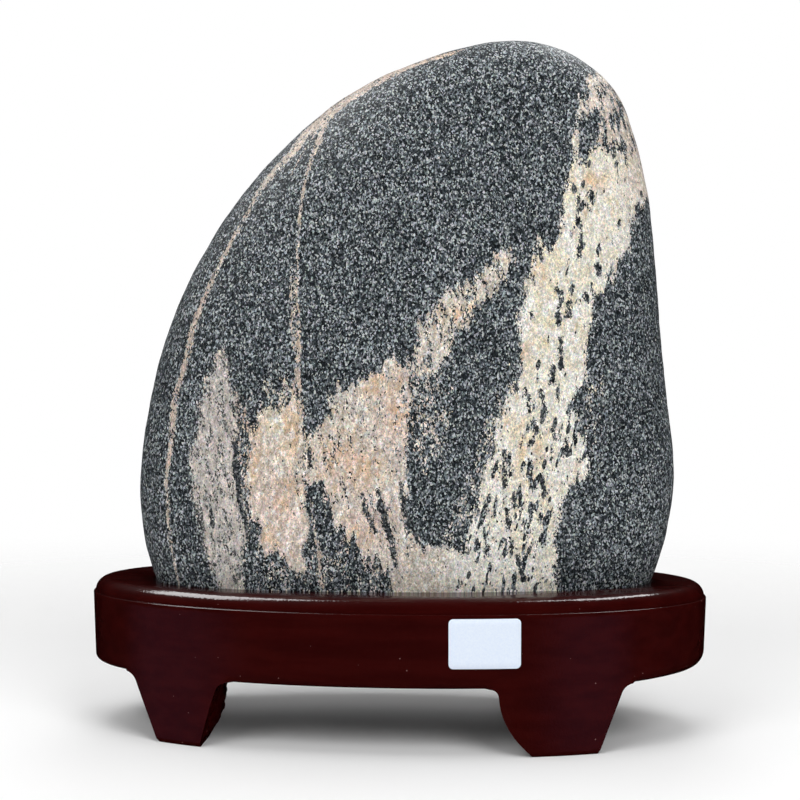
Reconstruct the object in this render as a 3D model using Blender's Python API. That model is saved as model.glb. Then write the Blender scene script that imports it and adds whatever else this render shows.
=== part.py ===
"""A scholars rock standing in the shallow seat of a carved wooden stand with four legs.

X runs along the stand, the front faces -Y, and the feet stand on Z = 0. Sizes are in millimetres.
"""
import math

import bmesh
import bpy
import numpy as np
from mathutils import Vector, noise

MM = 0.001

# Stand: an oval board, beaded on top, with an apron and four legs cut from the same wood
STAND_LENGTH = 278.4
STAND_DEPTH = 124.0
PLAN_POWER = 2.05
STAND_HEIGHT = 66.6
APRON_BOTTOM = 28.9
LEDGE_HEIGHT = 60.4
LEDGE_WIDTH = 0.9
APRON_DRAFT = 0.8
APRON_ROUND = 3.0
COLUMN_PITCH = 8.5
LEG_THICKNESS = 26.0
FOOT_THICKNESS = 23.0
LEG_LEVELS = 9
KNEE_FILLET = 3.4
FOOT_ROUND = 1.5

# Each leg: its side of the stand, then the X of its left and right edges, each as the knee, the foot,
# and how far the edge bows between them on the leg's outer and inner faces
LEGS = {
    "front_left": (-1, (-113.6, -101.0, 1.0, 1.0), (-71.5, -81.0, 0.8, 3.2)),
    "front_right": (-1, (48.0, 62.6, 2.3, 2.3), (101.7, 90.4, 1.0, 1.0)),
    "back_left": (1, (-124.0, -112.0, 1.0, 1.0), (-88.0, -95.0, 1.6, 1.6)),
    "back_right": (1, (50.0, 66.0, 1.5, 1.5), (104.0, 92.0, 1.0, 1.0)),
}

# Stone: its outline seen from the front, as X and Z, which goes on below the cut at its base
STONE_CENTRE = (5.0, 160.0)
STONE_OUTLINE = [
    (113.3, 64.0), (120.9, 85.0), (124.8, 114.0), (122.0, 144.0), (119.0, 172.0), (115.5, 212.0),
    (112.0, 242.0), (106.0, 266.0), (98.8, 283.9), (86.5, 296.3), (72.1, 304.2), (51.8, 307.6),
    (28.9, 304.2), (8.0, 297.5), (-18.3, 285.4), (-44.9, 265.2), (-69.1, 239.0), (-90.6, 205.4),
    (-105.3, 168.8), (-113.2, 131.7), (-115.2, 99.7), (-112.0, 78.0), (-105.6, 61.0),
    (-85.5, 34.0), (-45.0, 17.0), (5.0, 14.0), (52.0, 18.0), (92.0, 37.0),
]
FRONT_DEPTH = 46.0
BACK_DEPTH = 40.0
FRONT_POWER = 3.2
BACK_POWER = 2.6
TOP_THINNING = 0.28
THINNING_START = 140.0
THINNING_END = 310.0
RIGHT_THINNING = 0.24
RIGHT_REACH = 120.0
RIGHT_TURN = 0.05
FRONT_WAVE_HEIGHT = 1.6
BACK_WAVE_HEIGHT = 3.2
WAVE_PITCH = 55.0
FINE_WAVE_SHARE = 0.4
FINE_WAVE_PITCH = 23.0
STONE_COLUMNS = 76
STONE_RINGS = 15

# Seat: the pocket in the stand's top, and the clearance around the stone in it
SEAT_DEPTH = 4.0
SEAT_GAP = 0.3

# Blank label on the front of the apron
LABEL_CENTRE = (42.0, 48.4)
LABEL_WIDTH = 30.0
LABEL_HEIGHT = 21.0
LABEL_CORNER = 2.0
LABEL_THICKNESS = 0.4
LABEL_GAP = 0.3


def remove_everything():
    for item in list(bpy.data.objects):
        bpy.data.objects.remove(item, do_unlink=True)


def material(name, colour, roughness, metallic=0.0):
    made = bpy.data.materials.new(name)
    made.use_nodes = True
    shader = made.node_tree.nodes["Principled BSDF"]
    shader.inputs["Base Color"].default_value = (*colour, 1.0)
    shader.inputs["Roughness"].default_value = roughness
    shader.inputs["Metallic"].default_value = metallic
    return made


def solid(name, bm, finish):
    """Closes a bmesh in millimetres into a named object in metres."""
    bmesh.ops.recalc_face_normals(bm, faces=bm.faces)
    bmesh.ops.scale(bm, vec=Vector((MM, MM, MM)), verts=bm.verts)
    mesh = bpy.data.meshes.new(name)
    bm.to_mesh(mesh)
    bm.free()
    mesh.materials.append(finish)
    mesh.shade_smooth()
    mesh.set_sharp_from_angle(angle=math.radians(40))
    made = bpy.data.objects.new(name, mesh)
    bpy.context.scene.collection.objects.link(made)
    return made


def plan_point(angle, inset):
    """A point of the stand's oval plan, an even distance inside its outermost line."""
    half_length = STAND_LENGTH / 2 - inset
    half_depth = STAND_DEPTH / 2 - inset
    cosine, sine = math.cos(angle), math.sin(angle)
    x = half_length * math.copysign(abs(cosine) ** (2 / PLAN_POWER), cosine)
    y = half_depth * math.copysign(abs(sine) ** (2 / PLAN_POWER), sine)
    return x, y


def plan_angle(x, side):
    """The plan angle at which the outermost line passes X, on the front (-1) or the back (1)."""
    cosine = math.copysign(abs(x / (STAND_LENGTH / 2)) ** (PLAN_POWER / 2), x)
    return side * math.acos(cosine) % (2 * math.pi)


def leg_edge(edge, height, inner=False):
    """X of a leg's edge: it leans in towards the foot and flares into the apron by a fillet."""
    knee, foot, outer_bow, inner_bow = edge
    bow = inner_bow if inner else outer_bow
    drop = 1 - height / APRON_BOTTOM
    x = knee + (foot - knee) * drop ** bow
    rise = height - (APRON_BOTTOM - KNEE_FILLET)
    if rise > 0:
        flare = KNEE_FILLET - math.sqrt(max(KNEE_FILLET ** 2 - rise ** 2, 0.0))
        x += math.copysign(flare, knee - foot)
    return x


def leg_levels():
    """Heights of a leg's rings, from the apron down to the floor, closest in the fillet."""
    fillet = [APRON_BOTTOM - KNEE_FILLET * (1 - math.cos(step * math.pi / 8)) for step in range(5)]
    bottom = fillet[-1]
    shaft = [bottom * (1 - step / LEG_LEVELS) for step in range(1, LEG_LEVELS)]
    return fillet + shaft + [FOOT_ROUND, 0.0]


def leg_ring(side, left, right, height, steps):
    """One ring of a leg: along the stand's wall from left to right, then back along its inner side."""
    share = height / APRON_BOTTOM
    thickness = FOOT_THICKNESS + (LEG_THICKNESS - FOOT_THICKNESS) * share
    tuck = FOOT_ROUND * 0.6 * max(0.0, 1 - height / FOOT_ROUND)
    kept = 1 - (thickness - tuck) / (STAND_DEPTH / 2)
    faces = []
    for inner in (False, True):
        start = plan_angle(leg_edge(left, height, inner), side)
        end = plan_angle(leg_edge(right, height, inner), side)
        angles = [start + (end - start) * step / steps for step in range(steps + 1)]
        faces.append([plan_point(angle, APRON_DRAFT + tuck) for angle in angles])
    outer, inner = faces
    return outer + [(x, y * kept) for x, y in reversed(inner)]


def stand_columns():
    """Plan angles of the wall's columns, and which leg, if any, each one stands over."""
    spans = []
    for name, (side, left, right) in LEGS.items():
        ends = [plan_angle(leg_edge(edge, APRON_BOTTOM), side) for edge in (left, right)]
        spans.append((min(ends), max(ends), name))
    spans.sort()
    columns = []
    for number, (low, high, name) in enumerate(spans):
        following = spans[(number + 1) % len(spans)][0]
        if following < high:
            following += 2 * math.pi
        for first, last, owner in ((low, high, name), (high, following, None)):
            x_first, y_first = plan_point(first, 0)
            x_last, y_last = plan_point(last, 0)
            across = math.hypot(x_last - x_first, y_last - y_first)
            steps = max(4, round(across / COLUMN_PITCH))
            for step in range(steps):
                on_leg = name if owner or step == 0 else None
                columns.append((first + (last - first) * step / steps, on_leg))
    return columns


def wall_profile():
    """The wall from its rounded foot up over the bead: inset, height and the rounding in the inset."""
    eighths = [step * math.pi / 8 for step in range(5)]
    rounded = []
    for turn in reversed(eighths):
        tuck = APRON_ROUND * (1 - math.cos(turn))
        rounded.append((APRON_DRAFT + tuck, APRON_BOTTOM + APRON_ROUND * (1 - math.sin(turn)), tuck))
    ledge = [(0.0, LEDGE_HEIGHT - 0.4, 0.0), (LEDGE_WIDTH, LEDGE_HEIGHT, 0.0)]
    bead = STAND_HEIGHT - LEDGE_HEIGHT
    turned = [
        (LEDGE_WIDTH + bead * (1 - math.cos(turn)), LEDGE_HEIGHT + bead * math.sin(turn), 0.0)
        for turn in [step * math.pi / 10 for step in range(1, 6)]
    ]
    return rounded + ledge + turned


def build_stand(finish):
    columns = stand_columns()
    bm = bmesh.new()
    rings = []
    for inset, height, tuck in wall_profile():
        ring = []
        for angle, on_leg in columns:
            x, y = plan_point(angle, inset - tuck if on_leg else inset)
            ring.append(bm.verts.new((x, y, height)))
        rings.append(ring)
    count = len(columns)
    for low, high in zip(rings, rings[1:]):
        for i in range(count):
            j = (i + 1) % count
            bm.faces.new((low[i], low[j], high[j], high[i]))
    bm.faces.new(rings[-1])

    underside = []
    for number, (angle, on_leg) in enumerate(columns):
        if on_leg is None:
            underside.append(rings[0][number])
        elif columns[number - 1][1] != on_leg:
            underside += add_leg(bm, on_leg, columns, rings[0], number)
    bm.faces.new(underside)
    return solid("stand", bm, finish)


def add_leg(bm, name, columns, foot_ring, first):
    """Hangs one leg from the wall's lowest ring, and returns the inner edge of its top."""
    count = len(columns)
    steps = 0
    while columns[(first + steps + 1) % count][1] == name:
        steps += 1
    side, left, right = LEGS[name]
    wall_top = [foot_ring[(first + step) % count] for step in range(steps + 1)]
    start = min((left, right), key=lambda edge: plan_angle(leg_edge(edge, APRON_BOTTOM), side))
    end = right if start is left else left
    above = None
    for height in leg_levels():
        points = leg_ring(side, start, end, height, steps)
        if above is None:
            ring = wall_top + [bm.verts.new((x, y, height)) for x, y in points[steps + 1:]]
            top = ring
        else:
            ring = [bm.verts.new((x, y, height)) for x, y in points]
            for i in range(len(ring)):
                j = (i + 1) % len(ring)
                bm.faces.new((above[i], above[j], ring[j], ring[i]))
        above = ring
    bm.faces.new(above)
    return [top[0]] + top[:steps:-1] + [top[steps]]


def outline_reach(angle):
    """How far the stone's outline lies from its centre in a direction, smoothly between its points."""
    centre = np.array(STONE_CENTRE)
    points = np.array(STONE_OUTLINE) - centre
    angles = np.unwrap(np.arctan2(points[:, 1], points[:, 0]))
    reaches = np.hypot(points[:, 0], points[:, 1])
    angles = np.concatenate([angles - 2 * math.pi, angles, angles + 2 * math.pi])
    reaches = np.tile(reaches, 3)
    slopes = np.gradient(reaches, angles)
    middle = angles[len(points)]
    angle = (angle - middle) % (2 * math.pi) + middle
    i = int(np.searchsorted(angles, angle, side="right")) - 1
    span = angles[i + 1] - angles[i]
    t = (angle - angles[i]) / span
    start = (1 + 2 * t) * (1 - t) ** 2 * reaches[i] + t * (1 - t) ** 2 * span * slopes[i]
    end = t * t * (3 - 2 * t) * reaches[i + 1] + t * t * (t - 1) * span * slopes[i + 1]
    return start + end


def stone_point(angle, polar):
    """A point of the stone: polar is 0 at the middle of the front, pi / 2 at the outline, pi behind."""
    front = polar <= math.pi / 2
    power = FRONT_POWER if front else BACK_POWER
    spread = math.sin(polar) ** (2 / power) if 0 < polar < math.pi else 0.0
    depth = abs(math.cos(polar)) ** (2 / power)
    reach = outline_reach(angle)
    x = STONE_CENTRE[0] + reach * spread * math.cos(angle)
    z = STONE_CENTRE[1] + reach * spread * math.sin(angle)
    rise = min(max((z - THINNING_START) / (THINNING_END - THINNING_START), 0), 1)
    thinning = 1 - TOP_THINNING * rise * rise * (3 - 2 * rise)
    right = min(max((x - STONE_CENTRE[0]) / RIGHT_REACH, 0), 1)
    thinning *= 1 - RIGHT_THINNING * right * right
    y = depth * thinning * (-FRONT_DEPTH if front else BACK_DEPTH) + RIGHT_TURN * max(x, 0)
    wave = noise.noise(Vector((x, y * 1.3, z)) / WAVE_PITCH)
    wave += FINE_WAVE_SHARE * noise.noise(Vector((z, x, y)) / FINE_WAVE_PITCH)
    y += wave * (FRONT_WAVE_HEIGHT if front else BACK_WAVE_HEIGHT) * depth
    return x, y, z


def stone_mesh(grow, base):
    """The stone's skin, grown by a clearance and cut off flat at its base."""
    bm = bmesh.new()
    poles = [bm.verts.new(stone_point(0, 0)), bm.verts.new(stone_point(0, math.pi))]
    rings = []
    for ring in range(1, 2 * STONE_RINGS):
        share = ring / STONE_RINGS
        polar = math.pi / 2 * share
        angles = [2 * math.pi * i / STONE_COLUMNS for i in range(STONE_COLUMNS)]
        rings.append([bm.verts.new(stone_point(angle, polar)) for angle in angles])
    for low, high in zip(rings, rings[1:]):
        for i in range(STONE_COLUMNS):
            j = (i + 1) % STONE_COLUMNS
            bm.faces.new((low[i], low[j], high[j], high[i]))
    for pole, ring in ((poles[0], rings[0]), (poles[1], rings[-1])):
        for i in range(STONE_COLUMNS):
            bm.faces.new((pole, ring[i], ring[(i + 1) % STONE_COLUMNS]))
    bmesh.ops.recalc_face_normals(bm, faces=bm.faces)
    if grow:
        bm.normal_update()
        for vertex in bm.verts:
            vertex.co += vertex.normal * grow
    everything = bm.verts[:] + bm.edges[:] + bm.faces[:]
    cut = bmesh.ops.bisect_plane(
        bm, geom=everything, dist=1e-5, plane_co=(0, 0, base), plane_no=(0, 0, 1), clear_inner=True
    )
    rim = [item for item in cut["geom_cut"] if isinstance(item, bmesh.types.BMEdge)]
    bmesh.ops.contextual_create(bm, geom=rim)
    return bm


def cut_seat(stand, finish):
    """Cuts the stone's own shape, with clearance, out of the stand's top."""
    floor = STAND_HEIGHT - SEAT_DEPTH
    cutter = solid("seat_cutter", stone_mesh(SEAT_GAP, floor), finish)
    cutter.hide_render = True
    cutter.display_type = "WIRE"
    cut = stand.modifiers.new("seat", "BOOLEAN")
    cut.operation = "DIFFERENCE"
    cut.solver = "EXACT"
    cut.object = cutter


def build_stone(finish):
    return solid("stone", stone_mesh(0.0, STAND_HEIGHT - SEAT_DEPTH + SEAT_GAP), finish)


def wall_inset(height):
    """How far the apron's wall lies inside the outermost line at a height."""
    share = (LEDGE_HEIGHT - height) / (LEDGE_HEIGHT - APRON_BOTTOM - APRON_ROUND)
    return APRON_DRAFT * min(max(share, 0.0), 1.0)


def label_columns():
    """X offsets of the label's columns and the half height of each, with round corners."""
    half_width, half_height = LABEL_WIDTH / 2, LABEL_HEIGHT / 2
    corner = []
    for step in range(5):
        turn = step * math.pi / 8
        across = half_width - LABEL_CORNER * (1 - math.sin(turn))
        corner.append((across, half_height - LABEL_CORNER * (1 - math.cos(turn))))
    corner.sort()
    straight = [half_width * share for share in (0.0, 0.3, 0.6)]
    right = [(x, half_height) for x in straight] + corner
    return [(-x, height) for x, height in reversed(right[1:])] + right


def build_label(finish):
    bm = bmesh.new()
    sheets = []
    for proud in (LABEL_GAP, LABEL_GAP + LABEL_THICKNESS):
        rows = []
        for share in (-1, -1 / 3, 1 / 3, 1):
            row = []
            for across, half_height in label_columns():
                z = LABEL_CENTRE[1] + share * half_height
                x = LABEL_CENTRE[0] + across
                place = plan_point(plan_angle(x, -1), wall_inset(z) - proud)
                row.append(bm.verts.new((x, place[1], z)))
            rows.append(row)
        sheets.append(rows)
    for rows in sheets:
        for low, high in zip(rows, rows[1:]):
            for i in range(len(low) - 1):
                bm.faces.new((low[i], low[i + 1], high[i + 1], high[i]))
    rims = []
    for rows in sheets:
        left = [row[0] for row in rows[1:-1]]
        right = [row[-1] for row in rows[1:-1]]
        rims.append(rows[0] + right + rows[-1][::-1] + left[::-1])
    back, front = rims
    for i in range(len(back)):
        j = (i + 1) % len(back)
        bm.faces.new((back[i], back[j], front[j], front[i]))
    return solid("blank_label", bm, finish)


def main():
    remove_everything()
    rock = material("grained_stone", (0.13, 0.135, 0.13), 0.6)
    lacquer = material("dark_red_lacquer", (0.022, 0.002, 0.002), 0.16)
    paper = material("white_label", (0.86, 0.9, 0.93), 0.45)
    stand = build_stand(lacquer)
    cut_seat(stand, lacquer)
    build_stone(rock)
    build_label(paper)


main()
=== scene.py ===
"""The looks of a scholars rock in its lacquered stand.

Sizes are in millimetres, and those of the lights and the floor in metres. X runs along the stand, and the
front faces -Y.
"""
import math

import bmesh
import bpy
import numpy as np
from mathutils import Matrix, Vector, noise


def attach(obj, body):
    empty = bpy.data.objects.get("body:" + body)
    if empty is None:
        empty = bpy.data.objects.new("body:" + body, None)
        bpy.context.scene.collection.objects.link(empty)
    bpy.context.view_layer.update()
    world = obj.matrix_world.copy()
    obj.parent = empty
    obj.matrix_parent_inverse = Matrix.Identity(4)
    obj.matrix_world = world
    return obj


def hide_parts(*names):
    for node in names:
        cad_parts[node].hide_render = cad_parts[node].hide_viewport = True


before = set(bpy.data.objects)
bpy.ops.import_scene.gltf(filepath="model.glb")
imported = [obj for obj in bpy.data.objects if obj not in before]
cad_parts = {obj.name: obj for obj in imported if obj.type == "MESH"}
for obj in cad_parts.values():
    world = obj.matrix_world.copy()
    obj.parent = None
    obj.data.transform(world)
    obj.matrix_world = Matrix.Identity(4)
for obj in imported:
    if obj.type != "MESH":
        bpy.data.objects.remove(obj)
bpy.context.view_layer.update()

MM = 0.001

# Camera, fitted to the photograph
CAMERA_PLACE = (59.2, -697.0, 175.1)
CAMERA_LENS_MM = 69.5
CAMERA_DOWN_DEG = 2.27
CAMERA_LEFT_DEG = 4.71

# Stand
STAND_LENGTH = 278.4
STAND_DEPTH = 124.0
PLAN_POWER = 2.05
STAND_HEIGHT = 66.6
APRON_BOTTOM = 28.9
LEDGE_HEIGHT = 60.4
LEDGE_WIDTH = 0.9
APRON_DRAFT = 0.8
APRON_ROUND = 3.0
COLUMN_PITCH = 1.6
LEG_THICKNESS = 26.0
FOOT_THICKNESS = 23.0
LEG_LEVELS = 26
KNEE_FILLET = 3.4
FOOT_ROUND = 1.5
LEG_EDGE_ROUND = 0.6
LEG_SIDE_STEPS = 16
CARVING_DEPTH = 1.3
CARVING_PITCH = 3.4
FILLET_STEPS = 7
WALL_STEPS = 16
APRON_ROUND_STEPS = 8
BEAD_STEPS = 18
SEAT_DEPTH = 4.0
SEAT_GAP = 0.3
SEAT_COLUMNS = 260
SEAT_FRONT_RINGS = 60
SEAT_BACK_RINGS = 30

# The apron's lower edge is rounder at its right end: the X where that starts and where it is full
RIGHT_END_START = 100.0
RIGHT_END_FULL = 137.0
RIGHT_END_ROUND = 8.0

# Each leg: its side of the stand, then its left and right edges, each as X at the knee, X at the foot,
# and the power of the curve between them on the leg's outer and inner faces
LEGS = {
    "front_left": (-1, (-113.6, -101.0, 1.0, 1.0), (-71.5, -81.0, 0.8, 3.2)),
    "front_right": (-1, (48.0, 62.6, 2.3, 2.3), (101.7, 90.4, 1.0, 1.0)),
    "back_left": (1, (-124.0, -112.0, 1.0, 1.0), (-88.0, -95.0, 1.6, 1.6)),
    "back_right": (1, (50.0, 66.0, 1.5, 1.5), (104.0, 92.0, 1.0, 1.0)),
}

# Stone: its outline seen from the front, as X and Z, which goes on below the cut at its base
STONE_CENTRE = (5.0, 160.0)
STONE_OUTLINE = [
    (113.3, 64.0), (120.9, 85.0), (124.8, 114.0), (122.0, 144.0), (119.0, 172.0), (115.5, 212.0),
    (112.0, 242.0), (106.0, 266.0), (98.8, 283.9), (86.5, 296.3), (72.1, 304.2), (51.8, 307.6),
    (28.9, 304.2), (8.0, 297.5), (-18.3, 285.4), (-44.9, 265.2), (-69.1, 239.0), (-90.6, 205.4),
    (-105.3, 168.8), (-113.2, 131.7), (-115.2, 99.7), (-112.0, 78.0), (-105.6, 61.0),
    (-85.5, 34.0), (-45.0, 17.0), (5.0, 14.0), (52.0, 18.0), (92.0, 37.0),
]
FRONT_DEPTH = 46.0
BACK_DEPTH = 40.0
FRONT_POWER = 3.2
BACK_POWER = 2.6
TOP_THINNING = 0.28
THINNING_START = 140.0
THINNING_END = 310.0
RIGHT_THINNING = 0.24
RIGHT_REACH = 120.0
RIGHT_TURN = 0.05
FRONT_WAVE_HEIGHT = 1.6
BACK_WAVE_HEIGHT = 3.2
WAVE_PITCH = 55.0
FINE_WAVE_SHARE = 0.4
FINE_WAVE_PITCH = 23.0
STONE_HALF_WIDTH = 112.0
STONE_COLUMNS = 420
FRONT_RINGS = 150
BACK_RINGS = 60

# Layers of the stone's fine relief, as height and pitch
RELIEF = [(0.3, 11.0), (0.1, 3.5)]

# Behind the front the markings run on at a slant, and drift more and more
BEHIND_START = 4.0
SLANT_ALONG = 0.30
SLANT_UP = 0.22
DRIFT = 14.0
DRIFT_SPAN = 80.0
DRIFT_PITCH = 45.0

# The markings' edges are feathered up and down by strands
FEATHER_LENGTH = 7.0
FEATHER_WIDTH = 2.2
FEATHER_PITCH = 13.0

# The pale patches of the stone's front, each outline as X and Z
PATCHES = {
    "grey_lens": [
        (-72, 170), (-69, 165), (-70, 157), (-65, 148), (-66, 132), (-67, 125), (-65, 114), (-62, 104),
        (-61, 93), (-64, 80), (-64, 60), (-71, 60), (-78, 80), (-81, 92), (-85, 110), (-85, 123),
        (-82, 140), (-80, 152), (-76, 162),
    ],
    "left_wing": [
        (-54, 147), (-48, 144), (-43, 145), (-38, 147), (-36, 138), (-34, 130), (-34, 112), (-35, 104),
        (-33, 98), (-34, 92), (-37.5, 87), (-37, 80), (-35, 71), (-42, 78), (-47, 82), (-54, 85),
        (-57, 97), (-60, 106), (-62, 116), (-59, 128), (-58, 134), (-56, 141),
    ],
    "waist": [(-38, 133), (-32, 131.5), (-28, 139), (-18, 139), (-18, 111.5), (-38, 111.5)],
    "right_wing": [
        (-28, 138), (-24, 142), (-24, 152), (-15, 156), (-6, 161), (5, 166), (11, 170), (10, 158),
        (11, 151), (8, 136), (9, 120), (8, 108), (-26, 108),
    ],
    "wing_foot": [
        (-26, 114), (8, 114), (7, 100), (10, 92), (19, 86), (29, 84), (33, 89), (37, 81), (37, 56),
        (5, 56), (-1, 76), (-11, 83), (-18, 90), (-23, 98),
    ],
    "arm": [
        (11, 170), (14, 181), (22, 192), (33, 200), (41, 205), (48, 212), (54, 210), (52, 204),
        (46, 195), (36, 183), (29, 176), (23, 165), (16, 157), (10, 152),
    ],
    "band": [
        (91, 296), (83, 284), (81, 274), (79, 260), (78, 248), (74, 234), (73, 221), (68, 214),
        (63, 216), (63, 208), (59, 199), (57, 190), (56, 177), (57, 163), (52, 155), (51, 143),
        (52, 130), (82, 130), (83, 137), (78, 138), (79, 147), (84, 155), (85, 175), (87, 191),
        (94, 200), (97, 209), (103, 214), (104, 226), (109, 234), (126, 238), (126, 275), (106, 300),
    ],
    "band_foot": [
        (51, 150), (47, 139), (43, 127), (40, 116), (38, 104), (35, 93), (32, 86), (27, 84), (27, 56),
        (72, 56), (72, 87), (73, 101), (75, 110), (78, 111), (85, 117), (86, 128), (83, 137), (80, 143),
    ],
}

# About the share of dark grains in each patch
PATCH_GREYNESS = {
    "grey_lens": 0.28, "left_wing": 0.03, "waist": 0.20, "right_wing": 0.09, "wing_foot": 0.03,
    "arm": 0.24, "band": 0.05, "band_foot": 0.20,
}

# Parts of the patches with more dark grains, as their share and the part's outline
GREY_AREAS = [
    (0.48, [(90, 276), (97, 286), (106, 281), (110, 264), (104, 255), (97, 250), (92, 256), (88, 264)]),
    (0.30, [(80, 290), (98, 290), (96, 282), (90, 277), (82, 277)]),
    (0.28, [(51, 150), (47, 139), (43, 127), (40, 116), (38, 104), (35, 93), (32, 86), (42, 88),
            (46, 105), (49, 124), (52, 140)]),
    (0.40, [(60, 106), (72, 106), (72, 98), (66, 84), (56, 84), (52, 100), (56, 116)]),
    (0.12, [(-12, 112), (9, 112), (14, 88), (8, 78), (-4, 84), (-10, 96)]),
    (0.35, [(10, 168), (20, 168), (16, 157), (10, 150)]),
    (0.50, [(77, 149), (88, 149), (88, 127), (79, 128)]),
]

# Zones around the patches with some pale grains, as their share and the zone's outline
FRINGES = [
    (0.45, [(-54, 156), (-36, 157), (-36, 144), (-54, 144)]),
    (0.42, [(-66, 149), (-57, 149), (-58, 128), (-62, 116), (-57, 97), (-56, 84), (-64, 76), (-61, 93),
            (-65, 114), (-67, 125)]),
    (0.38, [(11, 170), (18, 173), (27, 176), (27, 150), (24, 128), (17, 122), (9, 122), (10, 152)]),
    (0.40, [(52, 160), (48, 142), (40, 118), (35, 98), (28, 86), (23, 90), (32, 107), (37, 122), (44, 146)]),
    (0.34, [(84, 137), (84, 155), (92, 156), (90, 128), (86, 112)]),
    (0.22, [(-20, 88), (-2, 76), (3, 60), (-60, 60), (-56, 80), (-37, 73), (-33, 86)]),
]

# Dark areas inside the patches
DARK_AREAS = [
    [(84, 275), (90, 276), (91, 268), (88, 260), (85, 252), (82, 250), (80, 257), (82, 265)],
    [(-35, 112), (-32, 113), (-27, 112.5), (-25, 106), (-23, 98), (-18, 90), (-24, 84), (-32, 86),
     (-33, 98)],
]

# Veins and streaks: the half width below which they don't show, and how far they reach to a side
HAIRLINE = 0.06
LINE_REACH = 7.0

# Pale veins, each point as X, Z and the vein's width
VEINS = [
    [(30, 302, 1.2), (16, 298, 2.4), (6, 295, 3.8), (-3, 291.5, 5.5), (-12, 287, 6.5), (-21, 280.8, 6.0),
     (-30, 273, 5.5), (-39, 264.6, 4.4), (-45, 255.8, 3.8), (-51.5, 248.3, 3.2), (-57.2, 241.7, 2.2),
     (-63.3, 229.3, 1.5), (-69.7, 218.3, 1.6), (-74, 209, 2.2), (-81, 193, 2.2), (-86, 181, 2.6),
     (-88, 169, 2.8), (-90, 162, 2.2), (-94, 148, 2.8), (-96, 127, 2.2), (-98, 114, 1.8),
     (-97, 96, 1.5), (-96, 83, 1.2), (-92, 60, 0.8)],
    [(-27, 273, 3.4), (-29.7, 270.3, 3.2), (-31.3, 261.9, 2.6), (-34.5, 254.2, 1.8), (-37, 241.7, 1.3),
     (-38.4, 230.7, 1.0), (-39.3, 217.6, 0.9), (-39.1, 196, 1.0), (-38.2, 181, 1.1), (-37.6, 170, 1.7),
     (-38.6, 162, 2.0), (-37.8, 147, 2.1), (-36, 136, 1.6)],
    [(-42, 205, 0.3), (-41.6, 195, 0.8), (-41.2, 182, 0.8), (-40.5, 172, 0.3)],
    [(-32, 100, 1.0), (-30, 86, 1.4), (-29, 76, 1.2), (-27, 60, 0.8)],
]

# Black streaks and spots inside the patches, in the same form
STREAKS = [
    [(-65.5, 132, 1.0), (-65.5, 119, 2.4), (-64, 106, 2.4), (-61, 95, 1.0)],
    [(-77.5, 108, 0.5), (-76, 94, 1.2)], [(-10.5, 109, 1.6), (-9, 103, 2.2), (-8, 99, 1.6), (-5, 93, 1.6)],
    [(-4, 111, 1.0), (-2.5, 104, 3.0), (-0.5, 97, 2.4), (1.5, 90, 2.4), (3.5, 78, 1.2)],
    [(6, 114, 1.0), (7, 104, 2.2), (11, 93, 1.8), (14, 88, 1.2)], [(-33.5, 128, 1.4), (-33, 121, 1.4)],
    [(-34, 109, 1.6), (-31, 111.5, 1.6), (-26.5, 110, 1.6)], [(81, 237, 1.2), (81, 231, 1.8)],
    [(86.5, 240, 1.2), (87, 236, 1.8)], [(83.5, 234, 1.0), (85.5, 231, 1.6)],
    [(80.5, 227, 2.2), (81, 224, 1.8)], [(82, 221, 1.2), (81, 210, 1.8)], [(77, 191, 2.0), (77, 185, 2.2)],
    [(73, 194, 0.8), (73, 188, 0.8)], [(72.4, 185.5, 2.6), (72.4, 182, 2.2)],
    [(77.7, 197, 1.3), (77.7, 194, 1.3)], [(72, 196, 2.0), (73.5, 194.5, 1.6)],
    [(61, 186, 1.3), (61.2, 184, 1.3)], [(73.5, 175, 1.6), (73.5, 163, 2.2)],
    [(70.5, 163, 1.8), (69.8, 157, 2.6)], [(72, 156, 1.0), (72, 150, 1.2)],
    [(58.5, 154, 0.9), (59.6, 150, 1.2), (60, 144, 1.0)],
    [(64.9, 153, 1.6), (66.5, 144, 2.0), (65.5, 140, 1.6)], [(61.5, 141, 1.2), (63.3, 136, 1.7)],
    [(70, 137, 1.3), (71, 132, 1.7)], [(84, 194, 2.4), (85, 191, 2.0)], [(89, 206, 2.6), (90, 203, 2.2)],
    [(54.3, 156, 1.6), (54.3, 153, 1.8)], [(64.6, 213, 1.4), (65, 208, 1.2)],
    [(76, 133, 1.4), (76.5, 126, 1.4)], [(49.5, 128, 1.0), (50, 113, 2.0)],
    [(54, 108, 1.6), (54, 104, 1.6)], [(51, 102, 1.8), (51.5, 94, 1.8)], [(52.5, 89, 1.8), (53, 86, 1.6)],
    [(55, 83, 1.4), (58, 72, 2.0)], [(65.2, 117, 1.6), (67, 109, 2.0)], [(42, 87, 1.0), (42, 82, 1.0)],
    [(61, 131, 2.0), (60.5, 130, 1.6)],
]

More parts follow.
